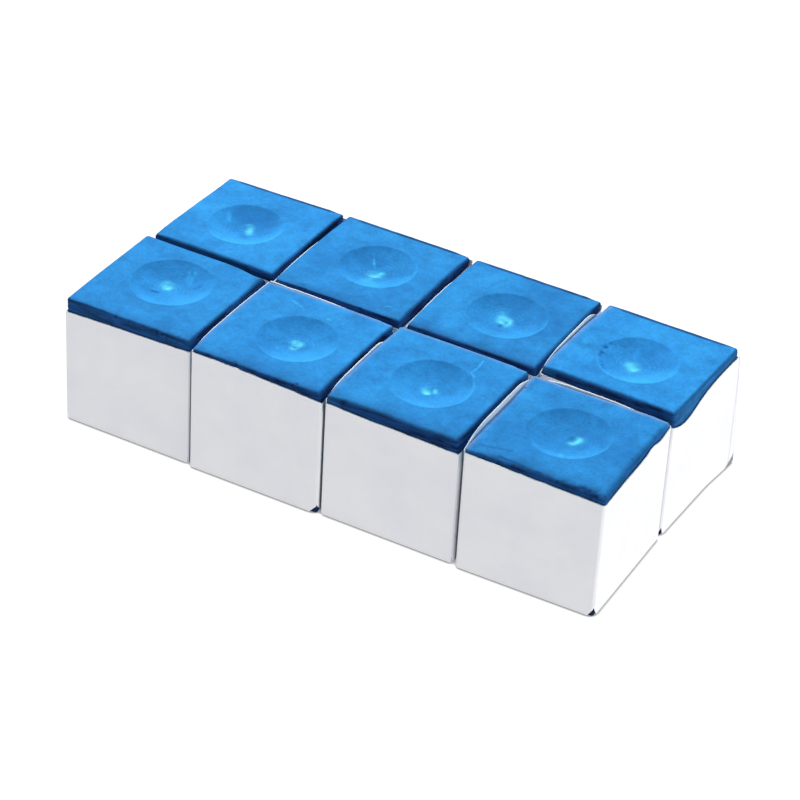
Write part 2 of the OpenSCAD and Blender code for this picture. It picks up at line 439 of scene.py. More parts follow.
LOOKS["back_2"] = cube(
    seed=22, tone=0.99, dish=(0.1, 0.9, 11.9), pit=(-0.15, -0.6), rim=(-20, 70, 0.03),
    buried=(0, 1, 3),
    sides=(
        side(edge=(0.9, 0.8, 1.2), rounding=(0.35, 0.35), inset=0.3, fade=0.42, chips=(0.4, 0.5)),
        side(edge=(1.4, 1.4, 1.3), curl=(-0.25, -0.25), rounding=(0.95, 0.95, 0.95), inset=0.45),
        FAR_SIDE,
        side(
            edge=(0.8, 0.6, 0.3, 0.2, 0.3, 0.5), curl=(0, 0.25, 0.27, 0.1),
            rounding=(0.2, 0.15), shade=0.1,
        ),
    ),
    blush=(
        (8, 8, 3, 0.25), (9.5, 1, 2, 0.2), (-8, -1, 4, -0.25), (-2, -9, 4, -0.25),
        (1.5, -2.5, 1.8, 0.35),
    ),
    streaks=(
        (0.3, 0.15, ((-2.6, 4.6), (-2, 3.6))),
        (0.7, 0.17, ((-2, 3.6), (-1.45, 2.75))),
        (0.4, 0.16, ((-1.45, 2.75), (-0.8, 1.85))),
        (0.4, 0.2, ((6.7, -8.2), (7.4, -7.8))),
    ),
    glint=(
        (0.8, 0.8, ((-0.1, -0.1), (0.3, 0.1))),
        (0.42, 0.7, ((0.4, 0.4), (0.8, 1))),
        (0.8, 0.25, ((0, -1), (-0.1, -2.3))),
    ),
)

LOOKS["back_3"] = cube(
    seed=23, tone=0.98, dish=(0.4, -0.3, 12.2), pit=(-0.35, 0.15), rim=(-30, 90, 0.03),
    buried=(0, 1, 3),
    sides=(
        side(edge=(0.9, 0.8, 1.3), rounding=(0.6, 0.6), inset=0.1, fade=0.48, chips=(0.3, 0.3)),
        side(edge=(1.4, 1.4, 1.2), rounding=(0.95, 0.9, 0.85), shade=0.9),
        FAR_SIDE,
        side(
            edge=(0.8, 0.6, 0.2, 0.2, 0.3, 0.4), curl=(0, 0.22, 0.25, 0.1),
            rounding=(0.2, 0.15), shade=0.1,
        ),
    ),
    blush=(
        (-6, 8, 3, 0.45), (-9, 1, 2.5, 0.4), (-5.5, -7.6, 1.8, 0.45), (8.5, 1, 3.5, -0.65),
        (4, 9, 4, -0.3),
    ),
    glint=(
        (0.7, 1, ((-0.7, 0.7), (-0.4, -0.2))),
        (0.5, 0.85, ((-0.2, 0.7), (0.6, 0.6), (0.9, -0.2), (0.7, -0.8))),
        (0.6, 0.35, ((-1.2, 1.5), (-0.9, 1))),
        (0.25, -0.5, ((0.35, 0.1), (0.45, -0.4))),
        (0.35, -0.45, ((0.05, -1.5), (0, -1.4))),
    ),
)

LOOKS["back_4"] = cube(
    seed=24, tone=1.1, dish=(0, -1.1, 12), pit=(-0.45, -0.4), rim=(-100, 90, 0.03),
    crumble=(195, 50), corner=0.45, notches=(0.4, 0.6, 0.5, 0.3), buried=(0, 3),
    skew=(3, 0.4, -0.35), flare=(2, 1.75, 0.5),
    sides=(
        side(
            edge=(1.2, 1.4, 1.8, 2.2), curl=(-0.2, -0.2, 0), rounding=(0.9, 0.95, 0.9),
            inset=0.4,
        ),
        side(
            edge=(2.2, 3.2, 3.3, 2.6, 1.9, 1.6, 1.5, 1.5, 1.8), rounding=(0.7, 0.6, 0.5),
            shade=0.65, chips=(0.4, 0.4), scuff=(3, 1.9),
            creases=((0.12, 0.12, 0.8), (0.35, 1.9, 0.4)),
        ),
        side(edge=(1.8, 1.2, 1), curl=(-0.3, -0.3), rounding=(0.3, 0.2), inset=0.58, ink=0.65),
        side(
            edge=(1.6, 1.2, -0.2, -0.3, -0.25, -0.2, -0.1, 0.3, 1.2),
            curl=(0, 0.1, 0.32, 0.32, 0.28, 0.22, 0.14, 0), rounding=(0.5, 0.2, 0.15, 0.15),
            shade=0.1, worn=0.22,
        ),
    ),
    blush=(
        (-8.7, -0.8, 0.7, 0.5), (-7.5, -2.9, 0.6, 0.3), (9, 7, 3, 0.3), (-8.3, -9.8, 0.3, 0.6),
        (0.5, 1.5, 3, -0.3),
    ),
    streaks=((0.4, 0.15, ((-2.1, -6.7), (-1.9, -6.9))),),
    glint=(
        (0.85, 1.05, ((-0.4, 0.25), (-0.1, 0), (0.15, -0.3))),
        (0.35, 0.3, ((0.9, 0.3), (1.1, -0.2))),
    ),
)


def smooth(value, start, end):
    """0 up to start, 1 from end on, and an even S between them."""
    t = np.clip((value - start) / (end - start), 0, 1)
    return t * t * (3 - 2 * t)


def bell(off, width):
    """1 where off is 0, falling softly on either side."""
    return np.exp(-(off / width) ** 2)


def along(values, t):
    """A soft curve through evenly spaced values, at the shares t of its length."""
    values = np.asarray(values, float)
    ends = np.linspace(0, 1, len(values))
    slopes = np.gradient(values, ends)
    t = np.clip(t, 0, 1)
    k = np.clip(np.searchsorted(ends, t, side="right") - 1, 0, len(values) - 2)
    step = ends[1] - ends[0]
    s = (t - ends[k]) / step
    s2, s3 = s * s, s * s * s
    return (
        (2 * s3 - 3 * s2 + 1) * values[k] + (s3 - 2 * s2 + s) * slopes[k] * step
        + (3 * s2 - 2 * s3) * values[k + 1] + (s3 - s2) * slopes[k + 1] * step
    )


def to_path(x, y, path):
    """How far points are from a line through the path's points."""
    nearest = np.full(len(x), np.inf)
    for (ax, ay), (bx, by) in zip(path, path[1:]):
        run = (bx - ax) ** 2 + (by - ay) ** 2
        t = np.clip(((x - ax) * (bx - ax) + (y - ay) * (by - ay)) / run, 0, 1)
        nearest = np.minimum(nearest, np.hypot(x - ax - t * (bx - ax), y - ay - t * (by - ay)))
    return nearest


def around(angle, towards, spread):
    """1 at the angle towards, falling to 0 at spread to either side, in degrees."""
    off = (np.degrees(angle) - towards + 180) % 360 - 180
    return smooth(np.abs(off), spread, AROUND_FULL * spread)


class Noise:
    """Smooth random values from -1 to 1, which repeat only after many features."""

    def __init__(self, seed, cells=48):
        self.cells = cells
        self.values = np.random.default_rng(seed).uniform(-1, 1, (cells, cells, cells))

    def __call__(self, points, size, stretch=(1, 1, 1)):
        places = points / (size * np.asarray(stretch, float)) + NOISE_ORIGIN * self.cells
        low = np.floor(places).astype(int)
        share = places - low
        share = share * share * (3 - 2 * share)
        total = np.zeros(len(points))
        for corner in itertools.product((0, 1), repeat=3):
            weight = np.prod(np.where(corner, share, 1 - share), axis=1)
            i, j, k = ((low + corner) % self.cells).T
            total += weight * self.values[i, j, k]
        return total

    def fractal(self, points, size, octaves, stretch=(1, 1, 1)):
        return sum(self(points, size / 2**n, stretch) / 2**n for n in range(octaves))

    def layered(self, points, layers):
        return sum(strength * self(points, size) for size, strength in layers)

    def vary(self, points, size, amount):
        """A factor that wanders to either side of 1."""
        return 1 + amount * self(points, size)


def node_points(node):
    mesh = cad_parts[node].data
    flat = np.empty(len(mesh.vertices) * 3)
    mesh.vertices.foreach_get("co", flat)
    return flat.reshape(-1, 3) / MM


def measure(place):
    """Where a cube's CAD solids stand: middle, turn, width over the label, and height."""
    label = node_points("label_" + place)
    turns = np.radians(np.arange(-MAX_TURN, MAX_TURN + 0.01, TURN_STEP))
    spans = [np.ptp(label[:, 0] * math.cos(a) + label[:, 1] * math.sin(a)) for a in turns]
    lo, hi = (np.array(corner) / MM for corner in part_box("label_" + place))
    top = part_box("chalk_" + place)[1][2] / MM
    return (lo + hi)[:2] / 2, turns[int(np.argmin(spans))], min(spans), top


def set_down(points, middle, turn):
    """Moves points from a cube's own frame to the block's frame, in metres."""
    c, s = math.cos(turn), math.sin(turn)
    x, y, z = points.T
    return np.column_stack([c * x - s * y + middle[0], s * x + c * y + middle[1], z]) * MM


def grid_faces(ids):
    corners = (ids[:-1, :-1], ids[:-1, 1:], ids[1:, 1:], ids[1:, :-1])
    return np.column_stack([corner.ravel() for corner in corners]).tolist()


def mesh_object(name, points, faces, marks=None):
    mesh = bpy.data.meshes.new(name)
    mesh.from_pydata(points.tolist(), [], faces)
    mesh.update()
    for mark, values in (marks or {}).items():
        layer = mesh.attributes.new(mark, "FLOAT", "POINT")
        layer.data.foreach_set("value", np.asarray(values, np.float32))
    mesh.shade_smooth()
    piece = bpy.data.objects.new(name, mesh)
    bpy.context.collection.objects.link(piece)
    return piece


# Chalk

def graded(low, high):
    """Steps from low to high, finer near the ends."""
    inner = int((high - low - 2 * EDGE_BAND) / TOP_COARSE) + 1
    middle = np.linspace(low + EDGE_BAND, high - EDGE_BAND, inner)
    end = np.linspace(0, EDGE_BAND, int(EDGE_BAND / TOP_FINE) + 1)[:-1]
    return np.concatenate([low + end, middle, (high - end)[::-1]])


def box_skin(x_steps, y_steps, low, high):
    """A box's closed skin: a fine grid on top, rings down the sides and one face below."""
    columns, rows = len(x_steps), len(y_steps)
    grid_x, grid_y = np.meshgrid(x_steps, y_steps)
    top = np.column_stack([grid_x.ravel(), grid_y.ravel(), np.full(columns * rows, high)])
    ids = np.arange(columns * rows).reshape(rows, columns)
    rim = np.concatenate([ids[0, :-1], ids[:-1, -1], ids[-1, :0:-1], ids[:0:-1, 0]])
    levels = np.concatenate([
        np.arange(high - TOP_FINE, high - EDGE_BAND, -TOP_FINE),
        np.arange(high - EDGE_BAND, high - BAND, -BAND_STEP),
        np.linspace(high - BAND, low, LOW_RINGS),
    ])
    rings = [np.column_stack([top[rim, :2], np.full(len(rim), z)]) for z in levels]
    faces = grid_faces(ids)
    upper = rim
    for k in range(len(levels)):
        lower = columns * rows + k * len(rim) + np.arange(len(rim))
        faces += np.column_stack([lower, np.roll(lower, -1), np.roll(upper, -1), upper]).tolist()
        upper = lower
    faces.append(upper[::-1].tolist())
    return np.vstack([top] + rings), faces


def side_weights(inward):
    """How much each side matters at each point, and the way out from there."""
    weights = np.clip(1 - inward / (2 * EDGE_BAND), 0, 1)
    weights = np.where(inward < ON_SIDE, 1.0, weights)
    away = weights @ np.array(OUTWARD, float)
    length = np.linalg.norm(away, axis=1, keepdims=True)
    return weights, away / np.maximum(length, TINY)


class ChalkSkin:
    """A chalk block's skin. It starts as a plain box, and each method in shape adds to it."""

    def __init__(self, look, label_width, high):
        self.look = look
        self.noise = Noise(look["seed"])
        self.reach = [label_width / 2 - side["inset"] for side in look["sides"]]
        front, right, back, left = self.reach
        self.points, self.faces = box_skin(
            graded(-left, right), graded(-front, back), CHALK_FOOT, high,
        )
        x, y = self.points[:, 0], self.points[:, 1]
        self.inward = np.column_stack([y + front, right - x, back - y, x + left])
        share = np.column_stack([(x + left) / (left + right), (y + front) / (front + back)])
        self.share = np.column_stack([share, 1 - share])
        self.weights, self.away = side_weights(self.inward)
        self.depth = high - self.points[:, 2]
        self.nearest = self.inward.min(axis=1)

    def per_side(self, key):
        """The values of each side's row, at every point."""
        rows = [side[key] for side in self.look["sides"]]
        return np.column_stack([along(row, self.share[:, k]) for k, row in enumerate(rows)])

    def blend(self, values):
        """One value for each point, from those of the sides that it is near."""
        total = self.weights.sum(axis=1)
        return (self.weights * values).sum(axis=1) / np.maximum(total, TINY)

    def blend_key(self, key):
        return self.blend(np.array([side[key] for side in self.look["sides"]]))

    def shape(self):
        self.round_upright_edges()
        self.skew_corner()
        self.follow_label()
        self.round_top_edges()
        self.wear_edges()
        self.press_dish()
        self.dust_with_powder()
        self.scratch()

    def round_upright_edges(self):
        front, right, back, left = self.reach
        core = np.column_stack([
            np.clip(self.points[:, 0], CORNER_R - left, right - CORNER_R),
            np.clip(self.points[:, 1], CORNER_R - front, back - CORNER_R),
        ])
        off = self.points[:, :2] - core
        reach = np.abs(off).max(axis=1)
        length = np.linalg.norm(off, axis=1)
        self.points[:, :2] = core + off * (reach / np.maximum(length, TINY))[:, None]

    def skew_corner(self):
        corner, skew_x, skew_y = self.look["skew"]
        at_right, at_back = CORNERS[corner]
        pull = np.abs(1 - at_right - self.share[:, 0]) * np.abs(1 - at_back - self.share[:, 1])
        self.points[:, 0] += skew_x * pull
        self.points[:, 1] += skew_y * pull

    def follow_label(self):
        """A label that leans outwards takes the top edge along. Lower down the chalk stands
        inside the label, wherever its top stands."""
        for k, side in enumerate(self.look["sides"]):
            lean = LEAN_SHARE * np.maximum(along(side["curl"], self.share[:, k]), 0)
            lean *= smooth(self.depth, LEAN_DEPTH, 0) ** 2 * smooth(self.inward[:, k], LEAN_WIDTH, 0)
            tuck = (TUCK - side["inset"]) * smooth(self.depth, TUCK_FROM, TUCK_TO)
            tuck *= self.inward[:, k] < OUTER_SKIN
            self.points[:, :2] += (lean - tuck)[:, None] * np.array(OUTWARD[k])

    def round_top_edges(self):
        self.rounding = self.per_side("rounding")
        radius = self.blend(self.rounding) * self.noise.vary(self.points, *ROUNDING_VARIES)
        radius = np.maximum(radius, MIN_ROUNDING)
        level = np.maximum(radius - self.nearest, 0)
        up = np.maximum(radius - self.depth, 0)
        bent = (level > 0) & (up > 0)
        span = np.where(bent, np.hypot(level, up), 1)
        on_side = self.nearest < ON_SIDE
        self.level_part = np.where(bent, level / span, np.where(on_side, 1.0, 0.0))
        self.up_part = np.where(bent, up / span, np.where(on_side, 0.0, 1.0))
        shift_in = np.where(bent, radius * (1 - self.level_part) - self.nearest, 0)
        shift_down = np.where(bent, radius * (1 - self.up_part) - self.depth, 0)
        self.points[:, :2] -= self.away * shift_in[:, None]
        self.points[:, 2] -= shift_down
        self.on_top = smooth(self.up_part, *ON_TOP)

    def wear_edges(self):
        """Crumbs out of the top edge, and pressed layers in the bare sides."""
        noise, points = self.noise, self.points
        self.crumbled = self.blend(self.per_side("chips"))
        self.edges = self.per_side("edge")
        from_edge = np.maximum(self.nearest, self.depth)
        rare = CRUMB_RARE - CRUMB_SPREAD * self.crumbled
        ragged = smooth(noise.layered(points, CRUMB_NOISE), rare, 1.0)
        self.crumbs = ragged * np.exp(-(from_edge / CRUMB_REACH) ** 4)
        self.strata = noise.fractal(points, LAYER_SIZE, octaves=3, stretch=LAYER_STRETCH)
        bare = self.blend(smooth(self.edges, *BARE_FROM))
        layers = SIDE_DENT + noise.layered(points, SIDE_NOISE)
        layers += LAYER_DEPTH * smooth(self.strata, *LAYER_STEP)
        dent = CRUMB_DEPTH * self.crumbs + (1 - self.on_top) * bare * layers
        normal = np.column_stack([self.away * self.level_part[:, None], self.up_part])
        self.points -= normal * dent[:, None]

    def press_dish(self):
        """The dish with its lip and tool rings, its pit, and the unevenness of the whole top."""
        noise, points = self.noise, self.points
        dish_x, dish_y, dish_d = self.look["dish"]
        self.off_x, self.off_y = points[:, 0] - dish_x, points[:, 1] - dish_y
        self.angle = np.arctan2(self.off_y, self.off_x)
        # How far out from the dish's middle a point is, in shares of the dish's radius
        self.out = np.hypot(self.off_x, self.off_y) / (dish_d / 2)
        self.out *= noise.vary(points, *DISH_VARIES)
        bowl = np.where(self.out < 1, 1 - self.out * self.out, 0) * DISH_DEPTH
        towards, spread, lift = self.look["rim"]
        self.raised = around(self.angle, towards, spread)
        lip = (LIP_H + lift * self.raised) * bell(self.out - LIP_AT, LIP_WIDTH)
        lip *= noise.vary(points, *LIP_VARIES)
        phase = self.out * dish_d * RING_RATE + noise.layered(points, RING_WANDER)
        self.turned = np.sin(phase) * smooth(self.out, *RINGS_IN) * smooth(self.out, *RINGS_OUT)
        self.turned *= RING_MEAN + noise.layered(points, RING_NOISE)
        self.pit = dish_x + self.look["pit"][0], dish_y + self.look["pit"][1]
        pit_off = np.hypot(points[:, 0] - self.pit[0], points[:, 1] - self.pit[1])
        pit = PIT_DEPTH * bell(pit_off, PIT_R)
        pit -= PIT_LIP_H * bell(pit_off - PIT_LIP_R, PIT_LIP_WIDTH)
        grain = noise.layered(points, GRAIN_NOISE)
        self.points[:, 2] += self.on_top * (lip + RING_H * self.turned - bowl - pit + grain)

    def dust_with_powder(self):
        """How pale the chalk is: powder clouds, the dish's lip with a painted highlight where it
        stands up, soft patches, and painted light on the dish's lit side and its tool rings, with
        painted shade on its far side.
        """
        noise, points = self.noise, self.points
        self.pale = CLOUD_PALE * noise.fractal(points, CLOUD_SIZE, octaves=4)
        # A paler lip, with a painted highlight where it stands up
        self.pale += (LIP_PALE + RAISED_PALE * self.raised) * bell(self.out - 1.0, LIP_WIDTH)
        for patch_x, patch_y, patch_r, paleness in self.look["blush"]:
            distance = np.hypot(points[:, 0] - patch_x, points[:, 1] - patch_y)
            self.pale += paleness * bell(distance, patch_r) * noise.vary(points, *PATCH_VARIES)
        # Painted light on the dish's lit side and its tool rings, and painted shade on its far side
        facing = self.off_x * LIT_SIDE[0] + self.off_y * LIT_SIDE[1]
        facing /= self.look["dish"][2] / 2
        lit = LIT_PALE * smooth(facing, *LIT_STEP) + RING_PALE * self.turned
        self.pale += lit * smooth(self.out, *LIT_INSIDE)
        shaded = SHADED_DARK * smooth(-facing, *SHADED_STEP)
        self.pale -= shaded * smooth(self.out, *SHADED_INSIDE)

    def scratch(self):
        """Scratches, and bits broken out of the dish's edge."""
        noise, points = self.noise, self.points
        gouge = np.zeros(len(points))
        for paleness, width, path in self.look["streaks"]:
            line = bell(to_path(points[:, 0], points[:, 1], path), width)
            line *= noise.vary(points, *SCRATCH_VARIES)
            self.pale += SCRATCH_PALE * paleness * line
            gouge += SCRATCH_DEPTH * paleness * line
        if self.look["crumble"]:
            broken = around(self.angle, *self.look["crumble"])
            broken *= bell(self.out - BREAK_AT, BREAK_WIDTH)
            broken *= smooth(noise.layered(points, BREAK_NOISE), *BREAK_STEP)
            gouge -= BREAK_DEPTH * broken
            self.pale -= BREAK_DARK * broken
        self.points[:, 2] += self.on_top * gouge

    def beside_edges(self):
        """Painted shade just above the label's edge, the dark of the sides on the top beside them,
        and painted light along the edge.
        """
        noise, points = self.noise, self.points
        hem, fade, worn = (np.zeros(len(points)) for _ in range(3))
        for k, side in enumerate(self.look["sides"]):
            inward, edge = self.inward[:, k], self.edges[:, k]
            # Painted shade just above the label's edge
            above = smooth(self.depth - edge, *HEM_ABOVE) * smooth(edge, *HEM_EDGE)
            hem = np.maximum(hem, above * (inward < HEM_REACH))
            past = np.maximum(inward - self.rounding[:, k], 0)
            faded = side["fade"] * np.exp(-past / FADE_REACH) * noise.vary(points, *FADE_VARIES)
            fade = np.maximum(fade, faded)
            # Painted light along the top's edge
            rubbed = side["worn"] * bell(past, WORN_REACH) * noise.vary(points, *WORN_VARIES)
            worn = np.maximum(worn, rubbed)
        return hem, fade, worn

    def skirt(self):
        """How far the dark of the bare sides reaches, with its ragged upper edge."""
        noise, points, nearest = self.noise, self.points, self.nearest
        ragged = RAGGED_LEAST + RAGGED_MORE * self.crumbled ** 2
        ragged *= noise.layered(points, SKIRT_NOISE)
        skirt = smooth(self.level_part + ragged, *SKIRT_STEP)
        ink = self.blend_key("ink")
        inked = INK_STRENGTH * smooth(nearest, ink + INK_SOFT, ink)
        skirt = np.maximum(skirt, np.where(ink > INK_LEAST, inked, 0))
        bite = BITE_DEPTH * self.crumbled * smooth(noise.layered(points, BITE_NOISE), *BITE_STEP)
        bitten = BITE_STRENGTH * smooth(nearest - bite, BITE_SOFT, 0.0) * (bite > BITE_LEAST)
        return np.maximum(skirt, bitten)

    def pit_spots(self):
        """Painted highlights in the pit, and painted spots of shade."""
        x, y = self.points[:, 0] - self.pit[0], self.points[:, 1] - self.pit[1]
        glint, shadow = np.zeros(len(x)), np.zeros(len(x))
        for radius, strength, path in self.look["glint"]:
            spot = bell(to_path(x, y, path), radius)
            spot *= self.noise.vary(self.points, *SPOT_VARIES)
            glint = np.maximum(glint, strength * spot)
            shadow = np.maximum(shadow, -strength * spot)
        return glint, shadow

    def marks(self):
        """What the material needs to know at each point."""
        hem, fade, worn = self.beside_edges()
        skirt = self.skirt()
        glint, shadow = self.pit_spots()
        dark = np.maximum(skirt * self.blend_key("shade"), hem * skirt)
        return {
            # pale: powder, with painted light and shade on the dish
            "pale": self.pale,
            # skirt: the dark of the bare sides, with painted shade above the label's edge and in the
            # pit's dark spots
            "skirt": 1 - (1 - dark) * (1 - np.maximum(fade, 0)) * (1 - shadow),
            "strata": STRATA_MEAN + self.strata,
            # crumbs: dark crumbs, with painted shade over the chalk's foot
            "crumbs": np.clip(self.crumbs + smooth(self.points[:, 2], *FOOT_DARK), 0, 1),
            # glint: painted highlights, less the painted spots of shade
            "glint": glint * (1 - shadow),
            "worn": worn,
        }


def chalk_piece(place, look):
    middle, turn, label_width, high = measure(place)
    skin = ChalkSkin(look, label_width, high)
    skin.shape()
    points = set_down(skin.points, middle, turn)
    piece = mesh_object("pressed_chalk_" + place, points, skin.faces, skin.marks())
    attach(piece, "cube_" + place)
    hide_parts("chalk_" + place)
    return piece


# Label

def flap_rows(edge, count):
    """The heights and insets of a flap's rows: round the fold, then up to its edge."""
    angles = np.linspace(0, math.pi / 2, FOLD_STEPS)
    fold = [(FOLD_R * (1 - math.cos(a)), FOLD_R * (1 - math.sin(a))) for a in angles]
    shares = np.concatenate([np.linspace(low, high, n + 1)[1:] for low, high, n in RISE])
    rows = [(np.full(count, low), inset) for low, inset in fold]
    return rows + [(FOLD_R + (edge - FOLD_R) * share, 0.0) for share in shares]


def flap_columns():
    """Places across a flap, from -1 at its left end to 1 at its right, closest at the ends."""
    end = np.linspace(0, END_SHARE, END_STEPS + 1)[:-1]
    middle = np.linspace(END_SHARE - 1, 1 - END_SHARE, MIDDLE_STEPS)
    return np.concatenate([end - 1, middle, 1 - end[::-1]])


def flap_grid(k, look, width, high, noise):
    """One flap's outer face as a grid of points, from its fold up to its edge."""
    half, corner = width / 2, look["corner"]
    flat = half - corner
    reach = flat + corner * math.pi / 4 - SEAM / 2
    across = flap_columns()
    t = (across + 1) / 2
    lane = np.full(len(t), k * LANE)
    trace = np.column_stack([across * reach, lane, np.zeros(len(t))])
    edge = high - along(look["sides"][k]["edge"], t) + noise.layered(trace, PAPER_EDGE_NOISE)
    curl = along(look["sides"][k]["curl"], t)
    cuts = np.where(across < 0, look["notches"][k], look["notches"][(k + 1) % SIDES])
    flared, flare_along, flare_out = look["flare"]
    to_right = smooth(across, FLARE_FROM, 1) * (flared == (k + 1) % SIDES)
    to_left = smooth(-across, FLARE_FROM, 1) * (flared == k)
    grid = []
    for z, inset in flap_rows(edge, len(t)):
        s = across * (reach - cuts * np.clip(1 - z / NOTCH_H, 0, 1))
        bend = np.clip((np.abs(s) - flat) / corner, 0, None)
        x = np.where(bend > 0, np.sign(s) * (flat + corner * np.sin(bend)), s)
        y = -half + inset + np.where(bend > 0, corner * (1 - np.cos(bend)), 0)
        flaring = 1 - z / high
        x += (flare_along * to_right - flare_out * to_left) * flaring
        y -= (flare_out * to_right + flare_along * to_left) * flaring
        lean = curl * smooth(edge - z, CURL_DEPTH, 0) ** 2
        wave = noise.layered(np.column_stack([s, lane, z]), PAPER_WAVES) * smooth(z, *WAVE_FROM)
        grid.append(np.column_stack([x, y - lean - wave, z]))
    return turn_to_side(np.array(grid), k)


def turn_to_side(grid, k):
    """Turns a flap's grid from the front round to side k."""
    c, s = TURNS[k]
    x, y = grid[..., 0].copy(), grid[..., 1].copy()
    grid[..., 0], grid[..., 1] = c * x - s * y, s * x + c * y
    return grid


def grime_line(start, from_left):
    """Painted shade: a dark line in the gap to the next cube, just inside the flap's left end."""
    if start is None:
        return np.zeros(len(from_left))
    past = from_left - start
    return smooth(past, *GRIME_FADE_IN) * smooth(past, *GRIME_FADE_OUT)


def scuffed_corner(size, height, from_right):
    """Painted shade: a dark triangle at the foot of the flap's right end."""
    if size is None:
        return np.zeros(len(height))
    return smooth(size[0] * (1 - height / size[1]) - from_right, 0, SCUFF_SOFT)


def flap_marks(k, look, grid, high):
    """What the paper's material needs to know at each point of a flap, apart from noise."""
    side = look["sides"][k]
    middle_row = len(grid) // 2
    height = grid[..., 2].ravel()
    below = (grid[-1, :, 2] - grid[..., 2]).ravel()
    from_left = np.linalg.norm(grid[..., :2] - grid[middle_row, 0, :2], axis=2).ravel()
    from_right = np.linalg.norm(grid[..., :2] - grid[:, -1:, :2], axis=2).ravel()
    settled = RIM_DUST + (1 - RIM_DUST) * smooth(below, *RIM_DUST_STEP)
    settled *= FOOT_DUST + (1 - FOOT_DUST) * smooth(below, *FOOT_DUST_STEP)
    # Painted shade in the gap, and at a corner's foot
    grime = grime_line(side["grime"], from_left)
    crease = np.zeros(len(below))
    # Painted shade along folds
    for at_top, at_foot, strength in side["creases"]:
        place = at_top + (at_foot - at_top) * smooth(below, 0, high)
        crease += strength * bell(from_right - place, CREASE_WIDTH)
    return {
        "dust": (k in look["buried"]) * DUST[k] * settled,
        # Painted highlight along the top edge
        "rim": bell(below, RIM_WIDTH),
        "gap": np.maximum(grime, scuffed_corner(side["scuff"], height, from_right)),
        "crease": crease,
    }


def label_piece(place, look):
    """A label: four flaps that share one bottom."""
    middle, turn, width, high = measure(place)
    noise = Noise(look["seed"] + LABEL_SEED)
    grids = [flap_grid(k, look, width, high, noise) for k in range(SIDES)]
    points = np.vstack([grid.reshape(-1, 3) for grid in grids])
    ids = np.arange(len(points)).reshape((SIDES,) + grids[0].shape[:2])
    faces = [face for flap in ids for face in grid_faces(flap)]
    faces.append(ids[:, 0].ravel()[::-1].tolist())
    flaps = [flap_marks(k, look, grid, high) for k, grid in enumerate(grids)]
    marks = {mark: np.concatenate([flap[mark] for flap in flaps]) for mark in flaps[0]}
    marks["dust"] *= DUST_LEAST + DUST_SPREAD * noise.fractal(points, DUST_SIZE, octaves=3)
    piece = mesh_object("paper_label_" + place, set_down(points, middle, turn), faces, marks)
    thicken = piece.modifiers.new("paper", "SOLIDIFY")
    thicken.thickness = PAPER_T * MM
    thicken.offset = -1
    bake_modifiers(piece)
    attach(piece, "cube_" + place)
    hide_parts("label_" + place)
    return piece


def bake_modifiers(piece):
    graph = bpy.context.evaluated_depsgraph_get()
    mesh = bpy.data.meshes.new_from_object(piece.evaluated_get(graph))
    piece.modifiers.clear()
    piece.data = mesh


# Materials

class Nodes:
    """A short way to write a node tree."""

    def __init__(self, name):
        self.material = bpy.data.materials.new(name)
        self.material.use_nodes = True
        self.tree = self.material.node_tree
        self.tree.nodes.clear()

    def add(self, kind, inputs=None, **settings):
        node = self.tree.nodes.new(kind)
        for key, value in settings.items():
            setattr(node, key, value)
        for key, value in (inputs or {}).items():
            self.put(node.inputs[key], value)
        return node

    def put(self, socket, value):
        if isinstance(value, bpy.types.NodeSocket):
            self.tree.links.new(value, socket)
        else:
            socket.default_value = value

    def place(self):
        return self.add("ShaderNodeTexCoord").outputs["Object"]

    def noise(self, place, scale, detail, roughness):
        inputs = {"Vector": place, "Scale": scale, "Detail": detail, "Roughness": roughness}
        return self.add("ShaderNodeTexNoise", inputs).outputs["Fac"]

    def mark(self, name):
        return self.add("ShaderNodeAttribute", attribute_name=name).outputs["Fac"]

    def math(self, operation, a, b, clamp=False):
        node = self.add("ShaderNodeMath", operation=operation, use_clamp=clamp)
        self.put(node.inputs[0], a)
        self.put(node.inputs[1], b)
        return node.outputs[0]

    def times(self, a, b, clamp=False):
        return self.math("MULTIPLY", a, b, clamp)

    def span(self, value, low, high, to_low=0.0, to_high=1.0):
        inputs = {
            "Value": value, "From Min": low, "From Max": high, "To Min": to_low, "To Max": to_high,
        }
        return self.add("ShaderNodeMapRange", inputs).outputs["Result"]

    def mix(self, share, a, b):
        node = self.add("ShaderNodeMix", data_type="RGBA")
        self.put(node.inputs[SHARE_IN], share)
        self.put(node.inputs[COLOUR_A], a)
        self.put(node.inputs[COLOUR_B], b)
        return node.outputs[COLOUR_OUT]

    def bump(self, height, strength, distance):
        inputs = {"Height": height, "Strength": strength, "Distance": distance}
        return self.add("ShaderNodeBump", inputs).outputs["Normal"]

    def finish(self, shader):
        out = self.add("ShaderNodeOutputMaterial")
        self.tree.links.new(shader.outputs[0], out.inputs["Surface"])
        return self.material


def scaled(colour, factor):
    return tuple(min(1.0, channel * factor) for channel in colour[:3]) + (1.0,)


